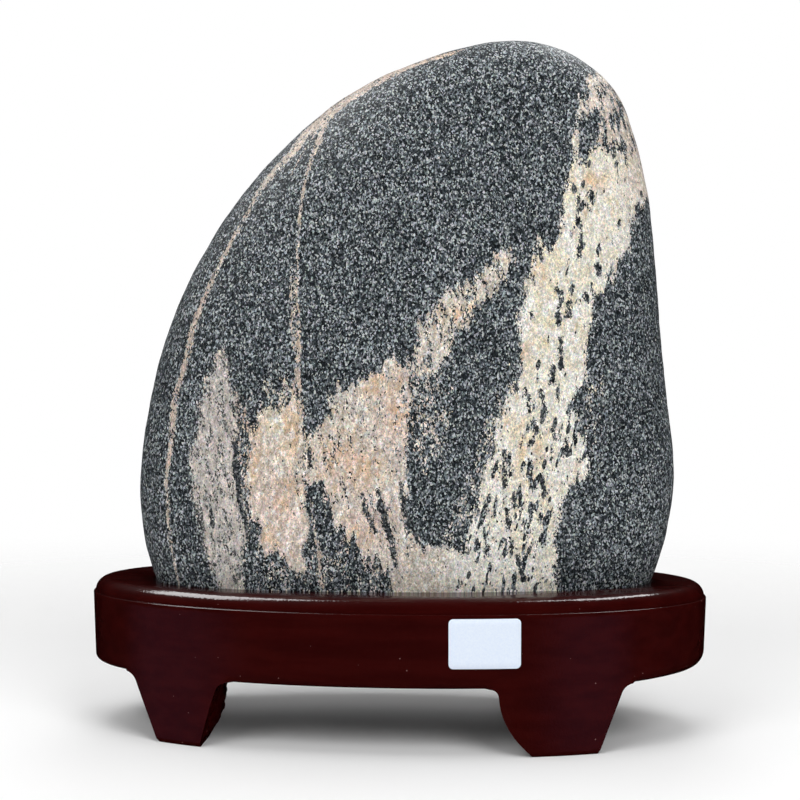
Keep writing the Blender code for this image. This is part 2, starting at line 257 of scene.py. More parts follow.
# Stains of the pale rock, each as X, Z and its reach along both
STAINS = {
    "pink": [(-71, 125, 14, 60), (0, 285, 45, 20), (-88, 190, 12, 70), (-46, 98, 16, 22), (-8, 95, 18, 16),
             (108, 252, 9, 26), (100, 277, 13, 22), (-38, 160, 4, 20), (3, 142, 13, 22), (-17, 120, 12, 14)],
    "peach": [(-58, 126, 7, 14), (-41, 134, 7, 13), (-20, 124, 10, 12), (5, 143, 6, 8), (-3, 156, 10, 6),
              (29, 185, 5, 4), (37, 189, 4, 4), (64, 203, 4, 5), (57, 168, 3, 5), (86, 243, 8, 4),
              (-53, 137, 3, 3), (30, 300, 16, 5), (51, 141, 3, 4), (-9, 120, 9, 8), (-42, 108, 7, 9),
              (-12, 92, 5, 6), (-54, 90, 5, 5), (60, 128, 6, 12)],
    "yellow": [(72, 190, 22, 45), (-45, 142, 12, 8), (84, 235, 22, 28), (60, 120, 16, 25),
               (62, 92, 12, 18)],
}

# How each stain tints the pale rock: the channel of the noise that breaks it up, that noise's span and the
# share left below it, then the stain's strength and colour
STAIN_TINTS = {
    "pink": (0, 0.35, 0.60, 0.30, 0.70, (0.63, 0.47, 0.42)),
    "yellow": (1, 0.42, 0.60, 0.0, 0.70, (0.84, 0.74, 0.50)),
    "peach": (2, 0.40, 0.58, 0.15, 0.75, (0.72, 0.47, 0.27)),
}

# The grains' width, and how far their borders wander
GRAIN = 0.56
FINE_GRAIN = 0.38
GRAIN_WANDER = (0.8, 0.8, 0.9)

# Blank label on the front of the apron
LABEL_CENTRE = (42.0, 48.4)
LABEL_WIDTH = 30.0
LABEL_HEIGHT = 21.0
LABEL_CORNER = 2.0
LABEL_THICKNESS = 0.4
LABEL_GAP = 0.3
LABEL_EDGE_ROUND = 0.15
LABEL_CORNER_STEPS = 10
LABEL_ROWS = 8

# Surroundings: where the lights aim, the panels that the apron mirrors in faint violet, the world's strength
# as light, and the floor's reach and fade
MIDDLE = (0.0, 0.0, 0.18)
CARD_COLOUR = (0.9, 0.55, 1.0)
CARD_PANELS = 5
WORLD_LIGHT = 0.28
FLOOR_RADIUS = 0.8
FLOOR_FADE_START = 0.25
FLOOR_FADE_END = 0.75


# Node trees

class Shader:
    """One material's node tree, with short ways to add and join nodes."""

    def __init__(self, name):
        self.material = bpy.data.materials.new(name)
        self.material.use_nodes = True
        self.tree = self.material.node_tree
        self.principled = self.tree.nodes["Principled BSDF"]

    def add(self, kind, values, **settings):
        """Adds a shader node. Values go by input name or number, and a socket among them is linked."""
        node = self.tree.nodes.new("ShaderNode" + kind)
        for name, value in settings.items():
            setattr(node, name, value)
        for key, value in values.items():
            self.put(node.inputs[key], value)
        return node

    def put(self, socket, value):
        if isinstance(value, bpy.types.NodeSocket):
            self.tree.links.new(value, socket)
        else:
            socket.default_value = value

    def finish(self, inputs):
        for name, value in inputs.items():
            self.put(self.principled.inputs[name], value)

    def math(self, operation, *values, clamp=False):
        numbered = dict(enumerate(values))
        return self.add("Math", numbered, operation=operation, use_clamp=clamp).outputs[0]

    def times(self, first, second):
        return self.math("MULTIPLY", first, second)

    def vector(self, operation, *values):
        return self.add("VectorMath", dict(enumerate(values)), operation=operation).outputs[0]

    def smooth(self, value, low, high, start=0.0, end=1.0):
        """Goes smoothly from start to end as the value goes from low to high."""
        values = {"Value": value, "From Min": low, "From Max": high, "To Min": start, "To Max": end}
        return self.add("MapRange", values, interpolation_type="SMOOTHSTEP").outputs["Result"]

    def mix(self, share, first, second):
        """Mixes two colours."""
        node = self.add("Mix", {0: share}, data_type="RGBA")
        for key, value in ((6, first), (7, second)):
            self.put(node.inputs[key], (*value, 1.0) if isinstance(value, tuple) else value)
        return node.outputs[2]

    def blend(self, share, first, second):
        """Mixes two values."""
        return self.add("Mix", {0: share, 2: first, 3: second}).outputs[0]

    def channels(self, colour):
        """The red, green and blue of a colour."""
        return self.add("SeparateColor", {0: colour}).outputs

    def attribute(self, name):
        return self.add("Attribute", {}, attribute_name=name).outputs["Fac"]

    def place(self, stretch=(1.0, 1.0, 1.0), turn=(0.0, 0.0, 0.0)):
        """The surface's own place in millimetres, turned by degrees and then stretched."""
        coordinates = self.add("TexCoord", {}).outputs["Object"]
        turned = self.add(
            "Mapping",
            {"Vector": coordinates, "Rotation": tuple(math.radians(angle) for angle in turn),
             "Scale": (1 / MM, 1 / MM, 1 / MM)},
        ).outputs[0]
        shrink = tuple(1 / factor for factor in stretch)
        return self.add("Mapping", {"Vector": turned, "Scale": shrink}).outputs[0]

    def noise(self, vector, pitch, detail=2.0, rough=0.5, output="Fac"):
        values = {"Vector": vector, "Scale": 1 / pitch, "Detail": detail, "Roughness": rough}
        return self.add("TexNoise", values).outputs[output]

    def ragged(self, vector, pitch, reach, detail=2.0):
        """Noise about zero, up to about the reach either way."""
        spread = self.math("SUBTRACT", self.noise(vector, pitch, detail), 0.5)
        return self.times(spread, reach * 2.6)

    def cells(self, vector, pitch):
        """Grains: the distance to a grain's middle, and a random red, green and blue for each."""
        node = self.add("TexVoronoi", {"Vector": vector, "Scale": 1 / pitch})
        return (node.outputs["Distance"], *self.channels(node.outputs["Color"]))

    def ramp(self, value, stops):
        """A colour ramp through stops, each a place and a grey level or a colour."""
        node = self.add("ValToRGB", {0: value})
        elements = node.color_ramp.elements
        while len(elements) < len(stops):
            elements.new(0.5)
        for element, (place, colour) in zip(elements, stops):
            element.position = place
            element.color = (*colour, 1.0) if isinstance(colour, tuple) else (colour, colour, colour, 1.0)
        return node.outputs["Color"]

    def bump(self, height, depth_mm, strength):
        values = {"Height": height, "Distance": depth_mm * MM, "Strength": strength}
        return self.add("Bump", values).outputs["Normal"]


# Meshes

def add_object(name, data):
    made = bpy.data.objects.new(name, data)
    bpy.context.scene.collection.objects.link(made)
    return made


def piece(name, bm, finish, node, sharp=40):
    """Turns a bmesh in millimetres into an object, which is a piece if it stands for a CAD node."""
    bmesh.ops.recalc_face_normals(bm, faces=bm.faces)
    bmesh.ops.scale(bm, vec=Vector((MM, MM, MM)), verts=bm.verts)
    mesh = bpy.data.meshes.new(name)
    bm.to_mesh(mesh)
    bm.free()
    mesh.materials.append(finish)
    mesh.shade_smooth()
    mesh.set_sharp_from_angle(angle=math.radians(sharp))
    made = add_object(name, mesh)
    if node:
        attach(made, "root")
        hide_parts(node)
    return made


def join_rings(bm, low, high):
    """Adds the faces all round between two rings."""
    for i in range(len(low)):
        j = (i + 1) % len(low)
        bm.faces.new((low[i], low[j], high[j], high[i]))


def apply_modifiers(made):
    """Makes the shape that the modifiers give into the object's own mesh."""
    graph = bpy.context.evaluated_depsgraph_get()
    graph.update()
    shaped = bpy.data.meshes.new_from_object(made.evaluated_get(graph))
    made.modifiers.clear()
    made.data = shaped


def smoothstep(value, low, high):
    share = np.clip((value - low) / (high - low), 0.0, 1.0)
    return share * share * (3 - 2 * share)


def noise_at(points, pitch):
    return np.array([noise.noise(Vector(point) / pitch) for point in points])


# Stone shape

def outline_reach(angle):
    """How far the stone's outline lies from its centre in each direction, smoothly between its points."""
    points = np.array(STONE_OUTLINE) - np.array(STONE_CENTRE)
    angles = np.unwrap(np.arctan2(points[:, 1], points[:, 0]))
    reaches = np.hypot(points[:, 0], points[:, 1])
    angles = np.concatenate([angles - 2 * math.pi, angles, angles + 2 * math.pi])
    reaches = np.tile(reaches, 3)
    slopes = np.gradient(reaches, angles)
    middle = angles[len(points)]
    angle = (angle - middle) % (2 * math.pi) + middle
    i = np.searchsorted(angles, angle, side="right") - 1
    span = angles[i + 1] - angles[i]
    t = (angle - angles[i]) / span
    start = (1 + 2 * t) * (1 - t) ** 2 * reaches[i] + t * (1 - t) ** 2 * span * slopes[i]
    end = t * t * (3 - 2 * t) * reaches[i + 1] + t * t * (t - 1) * span * slopes[i + 1]
    return start + end


def thinning_at(x, z):
    """The share of its full thickness that the stone has at a place, less at the top and the right."""
    right = np.clip((x - STONE_CENTRE[0]) / RIGHT_REACH, 0, 1)
    rise = smoothstep(z, THINNING_START, THINNING_END)
    return (1 - TOP_THINNING * rise) * (1 - RIGHT_THINNING * right * right)


def stone_rings(count, power, depth):
    """Shares of the outline's reach for one side's rings, evenly spaced along the curve to the middle."""
    turn = np.linspace(0, math.pi / 2, 2000)
    spread = np.sin(turn) ** (2 / power)
    rise = np.cos(turn) ** (2 / power)
    lengths = np.hypot(np.diff(spread) * STONE_HALF_WIDTH, np.diff(rise) * depth)
    along = np.concatenate([[0], np.cumsum(lengths)])
    return np.interp(np.linspace(0, along[-1], count + 1), along, spread)[1:]


def stone_points(angle, share, front):
    """Points of the stone at shares of the outline's reach, on the front or the back."""
    power = FRONT_POWER if front else BACK_POWER
    reach = outline_reach(angle)
    depth = np.maximum(1 - share ** power, 0) ** (1 / power)
    x = STONE_CENTRE[0] + reach * share * np.cos(angle)
    z = STONE_CENTRE[1] + reach * share * np.sin(angle)
    y = depth * thinning_at(x, z) * (-FRONT_DEPTH if front else BACK_DEPTH) + RIGHT_TURN * np.maximum(x, 0)
    wave = noise_at(np.column_stack([x, y * 1.3, z]), WAVE_PITCH)
    wave += FINE_WAVE_SHARE * noise_at(np.column_stack([z, x, y]), FINE_WAVE_PITCH)
    y += (FRONT_WAVE_HEIGHT if front else BACK_WAVE_HEIGHT) * wave * depth
    return np.column_stack([x, y, z])


def stone_mesh(columns, front_rings, back_rings, grow, base, relief=False):
    """The stone's skin, grown by a clearance and cut off flat at its base."""
    angles = np.arange(columns) * 2 * math.pi / columns
    front = stone_rings(front_rings, FRONT_POWER, FRONT_DEPTH)
    back = stone_rings(back_rings, BACK_POWER, BACK_DEPTH)[-2::-1]
    shares = [(share, True) for share in front] + [(share, False) for share in back]
    bm = bmesh.new()
    rings = []
    for share, on_front in shares:
        points = stone_points(angles, np.full(columns, share), on_front)
        rings.append([bm.verts.new(point) for point in points])
    for low, high in zip(rings, rings[1:]):
        join_rings(bm, low, high)
    for ring, on_front in ((rings[0], True), (rings[-1], False)):
        pole = bm.verts.new(stone_points(np.zeros(1), np.zeros(1), on_front)[0])
        for i in range(columns):
            bm.faces.new((pole, ring[i], ring[(i + 1) % columns]))
    bmesh.ops.recalc_face_normals(bm, faces=bm.faces)
    bm.normal_update()
    for vertex in bm.verts:
        height = grow
        if relief:
            height += sum(rise * noise.noise(vertex.co / pitch) for rise, pitch in RELIEF)
        vertex.co += vertex.normal * height
    everything = bm.verts[:] + bm.edges[:] + bm.faces[:]
    cut = bmesh.ops.bisect_plane(
        bm, geom=everything, dist=1e-5, plane_co=(0, 0, base), plane_no=(0, 0, 1), clear_inner=True
    )
    rim = [item for item in cut["geom_cut"] if isinstance(item, bmesh.types.BMEdge)]
    bmesh.ops.contextual_create(bm, geom=rim)
    return bm


# Stone markings

def from_segment(points, start, end):
    """The segment's span, the share of it where it is nearest each point, and the gap from there."""
    side = end - start
    along = np.clip((points - start) @ side / (side @ side), 0, 1)
    return side, along, points - start - along[:, None] * side


def inside(points, corners):
    """How far inside a closed outline each point is, in millimetres, negative outside it."""
    corners = np.array(corners, float)
    nearest = np.full(len(points), 1e9)
    within = np.zeros(len(points), bool)
    for start, end in zip(corners, np.roll(corners, -1, axis=0)):
        side, _, gap = from_segment(points, start, end)
        nearest = np.minimum(nearest, np.hypot(gap[:, 0], gap[:, 1]))
        crosses = (points[:, 1] < start[1]) != (points[:, 1] < end[1])
        if side[1]:
            at = start[0] + (points[:, 1] - start[1]) / side[1] * side[0]
            within ^= crosses & (points[:, 0] < at)
    return np.where(within, nearest, -nearest)


def area_share(points, areas):
    """The largest share among the areas that each point lies in, fading out across their edges."""
    shares = [share * smoothstep(inside(points, corners), -2.5, 2.5) for share, corners in areas]
    return np.max(shares, axis=0)


def beside_lines(points, lines):
    """How far beside its nearest line each point is, and that line's width, which is 0 out of reach."""
    nearest = np.full(len(points), 1e9)
    offset = np.zeros(len(points))
    width = np.zeros(len(points))
    for line in lines:
        for start, end in zip(np.array(line, float), np.array(line[1:], float)):
            side, along, gap = from_segment(points, start[:2], end[:2])
            distance = np.hypot(gap[:, 0], gap[:, 1])
            hand = np.sign(side[0] * gap[:, 1] - side[1] * gap[:, 0])
            closer = distance < nearest
            nearest[closer] = distance[closer]
            offset[closer] = (distance * hand)[closer]
            width[closer] = (start[2] + along * (end[2] - start[2]))[closer]
    width[nearest > LINE_REACH] = 0
    return offset, width


def marking_place(points):
    """Where each point of the stone falls in the pattern. Behind the front it runs on at a slant."""
    x, y, z = points.T
    across, up = x - STONE_CENTRE[0], z - STONE_CENTRE[1]
    share = np.hypot(across, up) / outline_reach(np.arctan2(up, across))
    front = np.maximum(1 - share ** FRONT_POWER, 0) ** (1 / FRONT_POWER)
    front_y = -front * thinning_at(x, z) * FRONT_DEPTH + RIGHT_TURN * np.maximum(x, 0)
    behind = np.maximum(y - front_y - BEHIND_START, 0)
    drift = DRIFT * (behind / DRIFT_SPAN)
    u = x + SLANT_ALONG * behind + drift * noise_at(points, DRIFT_PITCH)
    w = z + SLANT_UP * behind + drift * noise_at(points + 100, DRIFT_PITCH)
    return np.column_stack([u, w])


def mark_stone(stone):
    """Stores the pattern on the stone's vertices, as distances in millimetres and as shares."""
    mesh = stone.data
    points = np.empty(len(mesh.vertices) * 3)
    mesh.vertices.foreach_get("co", points)
    points = points.reshape(-1, 3) / MM
    place = marking_place(points)
    strands = np.column_stack([
        place[:, 0] / FEATHER_WIDTH, place[:, 1] / FEATHER_PITCH, points[:, 1] / FEATHER_PITCH,
    ])
    feathered = place + np.column_stack([np.zeros(len(points)), FEATHER_LENGTH * noise_at(strands, 1)])
    depths = {name: inside(feathered, corners) for name, corners in PATCHES.items()}
    pale = np.max(list(depths.values()), axis=0)
    dark = np.max([inside(feathered, corners) for corners in DARK_AREAS], axis=0)
    pale = np.minimum(pale, -dark)
    greyness = np.zeros(len(points))
    nearness = np.full(len(points), 1e-6)
    for name, depth in depths.items():
        weight = smoothstep(depth, -8, 2)
        greyness += weight * PATCH_GREYNESS[name]
        nearness += weight
    greyness = np.maximum(greyness / nearness, area_share(feathered, GREY_AREAS))
    spotted = smoothstep(np.maximum(depths["band"], depths["band_foot"]), -4, 3)
    spotted *= 1 - smoothstep(place[:, 1], 250, 264)
    vein_offset, vein_width = beside_lines(place, VEINS)
    streak_offset, streak_width = beside_lines(place, STREAKS)
    streak_width *= 1 - smoothstep(points[:, 1], 0, 12)
    fields = {
        "pale_depth": np.clip(pale, -20, 20),
        "greyness": greyness,
        "fringe": area_share(feathered, FRINGES),
        "softened": smoothstep(depths["grey_lens"], -3, 2),
        "spotted": spotted,
        "vein_offset": vein_offset,
        "vein_width": vein_width,
        "streak_distance": np.abs(streak_offset),
        "streak_width": streak_width,
    }
    for name, spots in STAINS.items():
        shares = [
            np.exp(-((place[:, 0] - x) / reach_x) ** 2 - ((place[:, 1] - z) / reach_z) ** 2)
            for x, z, reach_x, reach_z in spots
        ]
        fields[name] = np.max(shares, axis=0)
    for name, values in fields.items():
        field = mesh.attributes.new(name, "FLOAT", "POINT")
        field.data.foreach_set("value", values.astype(np.float32))


def grained_stone():
    """Dark salt-and-pepper rock with pale veins and patches, grain by grain."""
    s = Shader("grained_stone")
    wander = s.vector("SUBTRACT", s.noise(s.place(), 0.8, 1.0, output="Color"), (0.5, 0.5, 0.5))
    place = s.vector("MULTIPLY_ADD", wander, GRAIN_WANDER, s.place((1, 1, 1.5)))
    _, tone, draw, hue = s.cells(place, GRAIN)
    _, fine_tone, fine_draw, fine_hue = s.cells(place, FINE_GRAIN)

    # Where the pale rock is: its ragged edges lean to the right in the band and to the left elsewhere
    right_lean = s.place((1, 1, 3.2), (0, -12, 0))
    left_lean = s.place((1, 1, 3.2), (0, 9, 0))
    leans = (left_lean, right_lean)
    in_band = s.attribute("spotted")
    coarse = s.blend(in_band, *[s.ragged(lean, 4.4, 3.2, 3.0) for lean in leans])
    edge = s.math("ADD", coarse, s.blend(in_band, *[s.ragged(lean, 1.9, 1.9, 2.0) for lean in leans]))
    depth = s.math("ADD", s.attribute("pale_depth"), edge)
    pale_share = s.smooth(depth, -1.7, 1.7)
    patchy = s.blend(in_band, *[s.noise(lean, 3.2, 3.0) for lean in leans])
    fringe = s.times(s.attribute("fringe"), s.smooth(patchy, 0.36, 0.6))
    pale_share = s.math("MAXIMUM", pale_share, fringe)

    # Dark grains inside the patches: in clusters in the band, and as strands elsewhere
    blotch = s.blend(in_band, *[s.noise(lean, 2.7, 2.0) for lean in leans])
    greyness = s.attribute("greyness")
    beyond = s.math("ADD", blotch, s.math("MULTIPLY_ADD", greyness, 0.42, -0.69))
    clusters = s.math("MAXIMUM", s.smooth(beyond, -0.04, 0.04), s.times(greyness, 0.3))
    strands = s.times(greyness, s.smooth(blotch, 0.42, 0.60, 0.1, 2.3))
    dark_share = s.blend(in_band, strands, clusters)
    pale_share = s.times(pale_share, s.math("SUBTRACT", 1.0, dark_share, clamp=True))

    # Veins, thin enough to break up here and there
    fray = s.math("ADD", s.ragged(s.place((1, 1, 2.2)), 2.6, 0.6), s.ragged(s.place((1, 1, 2)), 9.0, 0.5))
    half = s.times(s.attribute("vein_width"), 0.5)
    in_vein = s.math("SUBTRACT", half, s.math("ABSOLUTE", s.math("ADD", s.attribute("vein_offset"), fray)))
    whole = s.smooth(s.noise(s.place((1, 1, 1.6)), 5.0, 3.0), 0.36, 0.56, 0.45, 1.0)
    whole = s.math("MAXIMUM", whole, s.smooth(half, 1.2, 2.2, 0.0, 0.4))
    has_vein = s.math("GREATER_THAN", half, HAIRLINE)
    vein = s.times(s.smooth(in_vein, -0.8, 0.7, 0.0, 0.88), has_vein)
    vein = s.times(vein, whole)
    pale_share = s.math("MAXIMUM", pale_share, vein)

    # Black streaks and long black spots
    streak_half = s.times(s.attribute("streak_width"), 0.5)
    streak_fray = s.ragged(s.place((1, 1, 1.8)), 2.2, 1.3, 3.0)
    streak_fray = s.times(streak_fray, s.smooth(streak_half, 0.4, 1.3, 0.3, 1.0))
    in_streak = s.math("SUBTRACT", streak_half, s.math("ADD", s.attribute("streak_distance"), streak_fray))
    has_streak = s.math("GREATER_THAN", streak_half, HAIRLINE)
    streak = s.times(s.smooth(in_streak, -0.9, 0.5, 0.0, 0.95), has_streak)
    spot_distance, spot_draw, _, _ = s.cells(s.place((1, 1, 2.4), (0, -14, 0)), 3.2)
    spot_reach = s.math("ADD", s.smooth(spot_draw, 0.6, 1.0, 0.0, 0.34), s.ragged(place, 1.3, 0.12))
    spot = s.math("GREATER_THAN", spot_reach, spot_distance)
    spot = s.times(spot, in_band)
    black = s.math("MAXIMUM", streak, spot)
    pale_share = s.times(pale_share, s.math("SUBTRACT", 1.0, black, clamp=True))
    pale = s.math("GREATER_THAN", pale_share, s.math("MULTIPLY_ADD", draw, 0.96, 0.02))

    # Dark rock
    level = s.math("MULTIPLY_ADD", tone, 0.8, s.times(fine_tone, 0.2))
    level = s.math("ADD", level, s.ragged(s.place(), 30.0, 0.05))
    dark_colour = s.ramp(level, [
        (0.14, (0.003, 0.004, 0.005)), (0.42, (0.017, 0.022, 0.026)), (0.58, (0.060, 0.073, 0.082)),
        (0.74, (0.195, 0.221, 0.236)), (0.92, (0.56, 0.612, 0.625)),
    ])
    black_colour = s.ramp(level, [(0.2, (0.006, 0.008, 0.010)), (0.7, (0.05, 0.055, 0.06)), (1.0, 0.3)])
    dark_colour = s.mix(s.times(black, 0.8), dark_colour, black_colour)
    soft_colour = s.ramp(level, [(0.2, 0.03), (0.6, (0.17, 0.17, 0.165)), (0.9, (0.6, 0.6, 0.58))])
    softened = s.times(s.attribute("softened"), s.math("SUBTRACT", 0.85, black, clamp=True))
    dark_colour = s.mix(softened, dark_colour, soft_colour)

    # Pale rock
    patchiness = s.channels(s.noise(s.place((1, 1, 1.5)), 4.5, 4.0, 0.6, "Color"))
    base = s.mix(s.smooth(hue, 0.0, 1.0), (0.62, 0.54, 0.45), (0.76, 0.72, 0.66))
    whiter = s.mix(s.smooth(patchiness[0], 0.3, 0.7), (0.84, 0.80, 0.68), (0.97, 0.97, 0.94))
    base = s.mix(s.times(in_band, 0.85), base, whiter)
    for name, (channel, low, high, least, strength, tint) in STAIN_TINTS.items():
        stain = s.times(s.attribute(name), s.smooth(patchiness[channel], low, high, least))
        base = s.mix(s.times(stain, strength), base, tint)
    flecks = s.channels(s.noise(s.place((1, 1, 1.4)), 2.4, 2.0, output="Color"))
    base = s.mix(s.smooth(flecks[0], 0.56, 0.70, 0.0, 0.45), base, (0.66, 0.47, 0.29))
    base = s.mix(s.smooth(flecks[1], 0.54, 0.68, 0.0, 0.6), base, (0.84, 0.86, 0.86))
    base = s.mix(s.times(s.attribute("softened"), 0.6), base, (0.52, 0.505, 0.485))
    base = s.mix(s.times(vein, 0.6), base, (0.50, 0.39, 0.31))
    mottle = s.smooth(s.noise(s.place((1, 1, 1.3)), 1.9, 1.0), 0.32, 0.68, 0.86, 1.12)
    strand = s.smooth(s.noise(right_lean, 2.3, 3.0), 0.34, 0.66, 0.82, 1.12)
    mottle = s.times(mottle, s.blend(in_band, strand, 0.95))
    shade = s.math("MULTIPLY_ADD", fine_tone, 0.4, s.times(fine_draw, 0.25))
    shade = s.math("MULTIPLY_ADD", hue, 0.35, shade)
    pale_level = s.times(mottle, s.smooth(shade, 0.05, 0.95, 0.56, 1.2))
    pale_colour = s.add("VectorMath", {0: base, 3: pale_level}, operation="SCALE").outputs[0]

    # Both together, with each fine grain a little redder, greener or bluer
    tints = s.add("CombineColor", {0: fine_tone, 1: fine_draw, 2: fine_hue}).outputs[0]
    tints = s.vector("MULTIPLY_ADD", tints, (0.26, 0.2, 0.3), (0.87, 0.9, 0.85))
    colour = s.vector("MULTIPLY", s.mix(pale, dark_colour, pale_colour), tints)
    rough = s.math("MULTIPLY_ADD", fine_hue, 0.22, 0.44)
    height = s.math("MULTIPLY_ADD", tone, 0.6, s.times(fine_tone, 0.4))
    normal = s.bump(height, 0.10, 0.5)
    s.finish({"Base Color": colour, "Roughness": rough, "Normal": normal, "Specular IOR Level": 0.14})
    return s.material


def build_stone():
    base = STAND_HEIGHT - SEAT_DEPTH + SEAT_GAP
    bm = stone_mesh(STONE_COLUMNS, FRONT_RINGS, BACK_RINGS, 0.0, base, relief=True)
    mark_stone(piece("stone_skin", bm, grained_stone(), "stone"))


# Stand

def plan_point(angle, inset):
    """A point of the stand's oval plan, an even distance inside its outermost line."""
    half_length = STAND_LENGTH / 2 - inset
    half_depth = STAND_DEPTH / 2 - inset
    cosine, sine = math.cos(angle), math.sin(angle)
    x = half_length * math.copysign(abs(cosine) ** (2 / PLAN_POWER), cosine)
    y = half_depth * math.copysign(abs(sine) ** (2 / PLAN_POWER), sine)
    return x, y


def plan_angle(x, side):
    """The plan angle at which the outermost line passes X, on the front (-1) or the back (1)."""
    cosine = math.copysign(abs(x / (STAND_LENGTH / 2)) ** (PLAN_POWER / 2), x)
    return side * math.acos(cosine) % (2 * math.pi)


def leg_edge(edge, height, inner=False):
    """X of a leg's edge: it leans in towards the foot and flares into the apron by a fillet."""
    knee, foot, outer_bow, inner_bow = edge
    bow = inner_bow if inner else outer_bow
    drop = 1 - height / APRON_BOTTOM
    x = knee + (foot - knee) * drop ** bow
    rise = height - (APRON_BOTTOM - KNEE_FILLET)
    if rise > 0:
        flare = KNEE_FILLET - math.sqrt(max(KNEE_FILLET ** 2 - rise ** 2, 0.0))
        x += math.copysign(flare, knee - foot)
    return x


def leg_levels():
    """Heights of a leg's rings, from the apron down to the floor, closest in the fillet."""
    turns = [step * math.pi / (2 * FILLET_STEPS) for step in range(FILLET_STEPS + 1)]
    fillet = [APRON_BOTTOM - KNEE_FILLET * (1 - math.cos(turn)) for turn in turns]
    shaft = [fillet[-1] * (1 - step / LEG_LEVELS) for step in range(1, LEG_LEVELS)]
    return fillet + [height for height in shaft if height > FOOT_ROUND + 0.4] + [FOOT_ROUND, 0.5, 0.0]


def leg_ring(side, left, right, height, steps):
    """One ring of a leg: along the stand's wall from left to right, then back along its inner side."""
    share = height / APRON_BOTTOM
    thickness = FOOT_THICKNESS + (LEG_THICKNESS - FOOT_THICKNESS) * share
    tuck = FOOT_ROUND * 0.6 * max(0.0, 1 - height / FOOT_ROUND)
    kept = 1 - (thickness - tuck) / (STAND_DEPTH / 2)
    faces = []
    for inner in (False, True):
        start = plan_angle(leg_edge(left, height, inner), side)
        end = plan_angle(leg_edge(right, height, inner), side)
        angles = [start + (end - start) * step / steps for step in range(steps + 1)]
        faces.append([plan_point(angle, APRON_DRAFT + tuck) for angle in angles])
    outer, inner = faces
    inner = [(x, y * kept) for x, y in reversed(inner)]
    middle = (outer[0][0] + outer[-1][0]) / 2
    far_side = leg_side(outer[-1], inner[0], height, middle)
    near_side = leg_side(outer[0], inner[-1], height, middle)[::-1]
    return outer + far_side + inner[1:-1] + near_side


def leg_side(outer, inner, height, middle):
    """Points across a leg's side face, from its clean outer corner to its roughly carved inner one."""
    points = []
    for step in range(1, LEG_SIDE_STEPS + 1):
        share = step / LEG_SIDE_STEPS
        x = outer[0] + (inner[0] - outer[0]) * share
        y = outer[1] + (inner[1] - outer[1]) * share
        reach = min(share * 4, height / 5, (APRON_BOTTOM - height) / 5, 1.0)
        coarse = noise.noise(Vector((x, y, height)) / CARVING_PITCH)
        fine = noise.noise(Vector((y, height, x)) / (CARVING_PITCH / 2))
        cut = 0.45 + coarse + 0.5 * fine
        x += math.copysign(CARVING_DEPTH * max(reach * cut, 0.0), middle - x)
        points.append((x, y))
    return points


def stand_columns():
    """Plan angles of the wall's columns, and which leg, if any, each one stands over."""
    spans = []
    for name, (side, left, right) in LEGS.items():
        ends = [plan_angle(leg_edge(edge, APRON_BOTTOM), side) for edge in (left, right)]
        spans.append((min(ends), max(ends), name))
    spans.sort()
    columns = []
    for number, (low, high, name) in enumerate(spans):
        following = spans[(number + 1) % len(spans)][0]
        if following < high:
            following += 2 * math.pi
        for first, last, owner in ((low, high, name), (high, following, None)):
            x_first, y_first = plan_point(first, 0)
            x_last, y_last = plan_point(last, 0)
            across = math.hypot(x_last - x_first, y_last - y_first)
            steps = max(4, round(across / COLUMN_PITCH))
            for step in range(steps):
                on_leg = name if owner or step == 0 else None
                columns.append((first + (last - first) * step / steps, on_leg))
    return columns


def wall_profile(apron_round):
    """The wall from its rounded foot up over the bead: inset, height and the rounding in the inset."""
    rounded = []
    for step in range(APRON_ROUND_STEPS, -1, -1):
        turn = step * math.pi / (2 * APRON_ROUND_STEPS)
        tuck = apron_round * (1 - math.cos(turn))
        rounded.append((APRON_DRAFT + tuck, APRON_BOTTOM + apron_round * (1 - math.sin(turn)), tuck))
    low, high = APRON_BOTTOM + apron_round, LEDGE_HEIGHT - 0.5
    wall = [
        (APRON_DRAFT * (1 - step / WALL_STEPS), low + (high - low) * step / WALL_STEPS, 0.0)
        for step in range(1, WALL_STEPS)
    ]
    ledge = [(0.0, high, 0.0), (0.1, LEDGE_HEIGHT - 0.2, 0.0), (0.35, LEDGE_HEIGHT - 0.02, 0.0),
             (LEDGE_WIDTH, LEDGE_HEIGHT, 0.0)]
    bead = STAND_HEIGHT - LEDGE_HEIGHT
    turned = [
        (LEDGE_WIDTH + bead * (1 - math.cos(turn)), LEDGE_HEIGHT + bead * math.sin(turn), 0.0)
        for turn in [step * math.pi / (2 * BEAD_STEPS) for step in range(1, BEAD_STEPS + 1)]
    ]
    return rounded + wall + ledge + turned


def add_leg(bm, name, columns, foot_ring, first):
    """Hangs one leg from the wall's lowest ring, and returns the inner edge of its top."""
    count = len(columns)
    steps = 0
    while columns[(first + steps + 1) % count][1] == name:
        steps += 1
    side, left, right = LEGS[name]
    wall_top = [foot_ring[(first + step) % count] for step in range(steps + 1)]
    start = min((left, right), key=lambda edge: plan_angle(leg_edge(edge, APRON_BOTTOM), side))
    end = right if start is left else left
    above = None
    for height in leg_levels():
        points = leg_ring(side, start, end, height, steps)
        if above is None:
            ring = wall_top + [bm.verts.new((x, y, height)) for x, y in points[steps + 1:]]
            top = ring
        else:
            ring = [bm.verts.new((x, y, height)) for x, y in points]
            join_rings(bm, above, ring)
        above = ring
    bm.faces.new(above)
    return [top[0]] + top[:steps:-1] + [top[steps]]


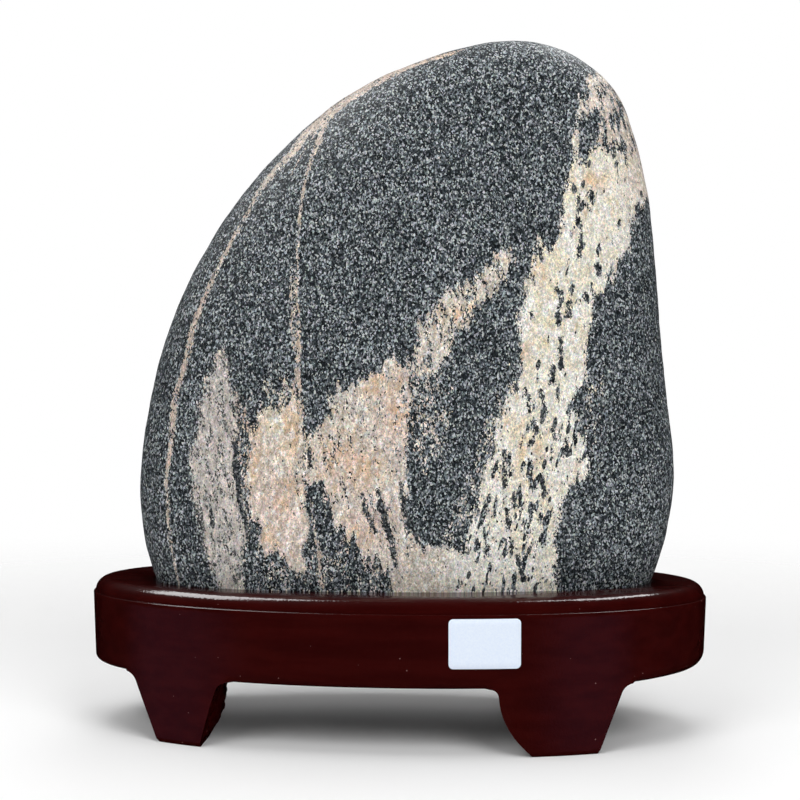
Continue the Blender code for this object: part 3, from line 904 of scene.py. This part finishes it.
def stand_mesh():
    """The stand as one closed body: the wall's rings, the top, the legs and the underside."""
    columns = stand_columns()
    bm = bmesh.new()
    profiles = []
    for angle, _ in columns:
        end = smoothstep(plan_point(angle, 0)[0], RIGHT_END_START, RIGHT_END_FULL)
        profiles.append(wall_profile(APRON_ROUND + (RIGHT_END_ROUND - APRON_ROUND) * float(end)))
    rings = []
    for level in range(len(profiles[0])):
        ring = []
        for (angle, on_leg), profile in zip(columns, profiles):
            inset, height, tuck = profile[level]
            x, y = plan_point(angle, inset - tuck if on_leg else inset)
            ring.append(bm.verts.new((x, y, height)))
        rings.append(ring)
    for low, high in zip(rings, rings[1:]):
        join_rings(bm, low, high)
    bm.faces.new(rings[-1])
    underside = []
    for number, (_, on_leg) in enumerate(columns):
        if on_leg is None:
            underside.append(rings[0][number])
        elif columns[number - 1][1] != on_leg:
            underside += add_leg(bm, on_leg, columns, rings[0], number)
    bm.faces.new(underside)
    return bm


def dark_red_lacquer():
    """Glossy lacquer over faint grain, slightly rippled, with specks of dust."""
    s = Shader("red_lacquered_wood")
    grain = s.noise(s.place((9, 1, 1)), 5.0, 3.0)
    colour = s.mix(s.smooth(grain, 0.3, 0.7), (0.0225, 0.0010, 0.0008), (0.031, 0.0018, 0.0014))
    distance, draw, size, _ = s.cells(s.place(), 3.4)
    speck = s.math("LESS_THAN", distance, s.smooth(size, 0.0, 1.0, 0.03, 0.085))
    dust = s.times(speck, s.math("GREATER_THAN", draw, 0.80))
    colour = s.mix(s.times(dust, 0.6), colour, (0.30, 0.16, 0.15))
    rough = s.smooth(s.noise(s.place((4, 1, 1)), 12.0, 4.0), 0.3, 0.7, 0.36, 0.5)
    rough = s.math("MULTIPLY_ADD", dust, 0.4, rough)
    normal = s.bump(s.noise(s.place(), 1.0, 2.0), 0.11, 0.7)
    s.finish({"Base Color": colour, "Roughness": rough, "Normal": normal, "Specular IOR Level": 0.03,
              "Coat Weight": 0.6, "Coat Roughness": 0.035, "Coat Normal": normal})
    return s.material


def build_stand():
    finish = dark_red_lacquer()
    stand = piece("stand_body", stand_mesh(), finish, "stand", sharp=50)
    edges = stand.modifiers.new("edges", "BEVEL")
    edges.width = LEG_EDGE_ROUND * MM
    edges.segments = 3
    edges.limit_method = "ANGLE"
    edges.angle_limit = math.radians(50)
    floor = STAND_HEIGHT - SEAT_DEPTH
    seat = stone_mesh(SEAT_COLUMNS, SEAT_FRONT_RINGS, SEAT_BACK_RINGS, SEAT_GAP, floor)
    cutter = piece("seat_cutter", seat, finish, None)
    cut = stand.modifiers.new("seat", "BOOLEAN")
    cut.operation = "DIFFERENCE"
    cut.solver = "EXACT"
    cut.object = cutter
    apply_modifiers(stand)
    bpy.data.objects.remove(cutter, do_unlink=True)


# Label

def wall_inset(height):
    """How far the apron's wall lies inside the outermost line at a height."""
    share = (LEDGE_HEIGHT - height) / (LEDGE_HEIGHT - APRON_BOTTOM - APRON_ROUND)
    return APRON_DRAFT * min(max(share, 0.0), 1.0)


def white_label_paper():
    s = Shader("white_label_paper")
    fibre = s.noise(s.place(), 0.8, 4.0, 0.6)
    colour = s.mix(s.smooth(fibre, 0.25, 0.75), (0.725, 0.81, 0.95), (0.785, 0.86, 0.965))
    rough = s.smooth(fibre, 0.3, 0.7, 0.42, 0.55)
    normal = s.bump(s.noise(s.place(), 1.6, 3.0), 0.03, 0.4)
    s.finish({"Base Color": colour, "Roughness": rough, "Normal": normal})
    return s.material


def build_label():
    """A thin sheet with round corners that follows the apron's curve."""
    half_width, half_height = LABEL_WIDTH / 2, LABEL_HEIGHT / 2
    corner = []
    for step in range(1, LABEL_CORNER_STEPS + 1):
        turn = step * math.pi / (2 * LABEL_CORNER_STEPS)
        across = half_width - LABEL_CORNER * (1 - math.sin(turn))
        corner.append((across, half_height - LABEL_CORNER * (1 - math.cos(turn))))
    right = [(half_width * step / 24, half_height) for step in range(21)] + corner
    columns = [(-across, height) for across, height in reversed(right[1:])] + right
    bm = bmesh.new()
    sheets = []
    shoulder = LABEL_GAP + LABEL_THICKNESS * 0.7
    face = LABEL_GAP + LABEL_THICKNESS
    for proud, trim in ((LABEL_GAP, 0.0), (shoulder, 0.0), (face, LABEL_EDGE_ROUND)):
        rows = []
        for step in range(LABEL_ROWS + 1):
            share = 2 * step / LABEL_ROWS - 1
            row = []
            for across, height in columns:
                x = LABEL_CENTRE[0] + across * (1 - trim / half_width)
                z = LABEL_CENTRE[1] + share * (height - trim)
                place = plan_point(plan_angle(x, -1), wall_inset(z) - proud)
                row.append(bm.verts.new((x, place[1], z)))
            rows.append(row)
        sheets.append(rows)
    for rows in (sheets[0], sheets[-1]):
        for low, high in zip(rows, rows[1:]):
            for i in range(len(low) - 1):
                bm.faces.new((low[i], low[i + 1], high[i + 1], high[i]))
    rims = []
    for rows in sheets:
        left = [row[0] for row in rows[1:-1]]
        right = [row[-1] for row in rows[1:-1]]
        rims.append(rows[0] + right + rows[-1][::-1] + left[::-1])
    for back, front in zip(rims, rims[1:]):
        join_rings(bm, back, front)
    for loose in [vertex for vertex in bm.verts if not vertex.link_faces]:
        bm.verts.remove(loose)
    piece("label_sheet", bm, white_label_paper(), "blank_label")


# Surroundings

def build_camera():
    camera = bpy.data.cameras.new("camera")
    camera.lens = CAMERA_LENS_MM
    camera.sensor_width = 36.0
    camera.clip_end = 20.0
    made = add_object("camera", camera)
    made.location = Vector(CAMERA_PLACE) * MM
    down, left = math.radians(CAMERA_DOWN_DEG), math.radians(CAMERA_LEFT_DEG)
    ahead = Vector((-math.cos(down) * math.sin(left), math.cos(down) * math.cos(left), -math.sin(down)))
    made.rotation_euler = ahead.to_track_quat("-Z", "Y").to_euler()
    bpy.context.scene.camera = made


def area_light(name, place, aim, width, height, power, colour=(1, 1, 1), gloss_only=False):
    """A soft panel, aimed at a place or facing down and turned by degrees, for surfaces or gloss alone."""
    light = bpy.data.lights.new(name, "AREA")
    light.shape = "RECTANGLE"
    light.size = width
    light.size_y = height
    light.energy = power
    light.color = colour
    made = add_object(name, light)
    made.location = place
    if isinstance(aim, tuple):
        made.rotation_euler = (Vector(aim) - Vector(place)).to_track_quat("-Z", "Y").to_euler()
    else:
        made.rotation_euler = (0, 0, math.radians(aim))
    made.visible_glossy = gloss_only
    made.visible_diffuse = not gloss_only
    made.visible_camera = False


def soft_card(name, place, aim, width, height, power):
    """Violet panels of growing width behind one another, whose reflection has soft ends."""
    for step in range(CARD_PANELS):
        share = 0.6 + 0.2 * step
        back = (Vector(place) - Vector(aim)).normalized() * step * 2 * MM
        area_light(f"{name}_{step + 1}", tuple(Vector(place) + back), aim, width * share, height,
                   power * share / CARD_PANELS, CARD_COLOUR, True)


def build_lights():
    area_light("left_softbox", (-0.60, -0.98, 0.98), MIDDLE, 0.8, 0.8, 7.1)
    area_light("right_softbox", (0.68, -0.98, 0.98), MIDDLE, 0.8, 0.8, 9.5)
    area_light("back_softbox", (0.0, 1.4, 0.9), MIDDLE, 1.0, 1.0, 6.0)
    area_light("top_softbox", (0.0, 0.0, 1.5), MIDDLE, 1.0, 1.0, 9.0)
    area_light("left_strip", (-0.617, 0.032, 1.0), -47, 0.55, 0.7, 19.0, gloss_only=True)
    area_light("right_strip", (0.381, 0.319, 1.0), 77, 0.52, 0.42, 11.5, gloss_only=True)
    soft_card("left_card", (-0.324, -0.193, -0.03), (-0.097, -0.044, 0.048), 0.22, 0.12, 0.0125)
    soft_card("right_card", (0.275, -0.265, -0.03), (0.084, -0.049, 0.048), 0.16, 0.12, 0.0095)


def build_world():
    """White where the camera sees it, dim as light, and dark in reflections."""
    world = bpy.data.worlds.new("studio")
    bpy.context.scene.world = world
    world.use_nodes = True
    world.cycles_visibility.glossy = False
    nodes, links = world.node_tree.nodes, world.node_tree.links
    background = nodes["Background"]
    background.inputs["Color"].default_value = (1.0, 1.0, 1.0, 1.0)
    path = nodes.new("ShaderNodeLightPath")
    strength = nodes.new("ShaderNodeMix")
    strength.inputs[2].default_value = WORLD_LIGHT
    strength.inputs[3].default_value = 1.0
    links.new(path.outputs["Is Camera Ray"], strength.inputs[0])
    links.new(strength.outputs[0], background.inputs["Strength"])


def build_floor():
    """A pale round floor that fades out into the surroundings."""
    s = Shader("pale_floor")
    s.finish({"Base Color": (0.9, 0.9, 0.9, 1.0), "Roughness": 0.9, "Specular IOR Level": 0.1})
    coordinates = s.add("TexCoord", {}).outputs["Object"]
    far = s.add("VectorMath", {0: coordinates}, operation="LENGTH").outputs["Value"]
    fade = s.smooth(far, FLOOR_FADE_START, FLOOR_FADE_END)
    clear = s.add("BsdfTransparent", {}).outputs[0]
    surface = s.add("MixShader", {0: fade, 1: s.principled.outputs[0], 2: clear})
    s.tree.links.new(surface.outputs[0], s.tree.nodes["Material Output"].inputs["Surface"])
    bm = bmesh.new()
    bmesh.ops.create_circle(bm, cap_ends=True, segments=96, radius=FLOOR_RADIUS)
    mesh = bpy.data.meshes.new("floor")
    bm.to_mesh(mesh)
    bm.free()
    mesh.materials.append(s.material)
    floor = add_object("floor", mesh)
    floor.visible_glossy = False


build_stone()
build_stand()
build_label()
build_floor()
build_world()
build_lights()
build_camera()
bpy.context.scene.view_settings.view_transform = "Standard"
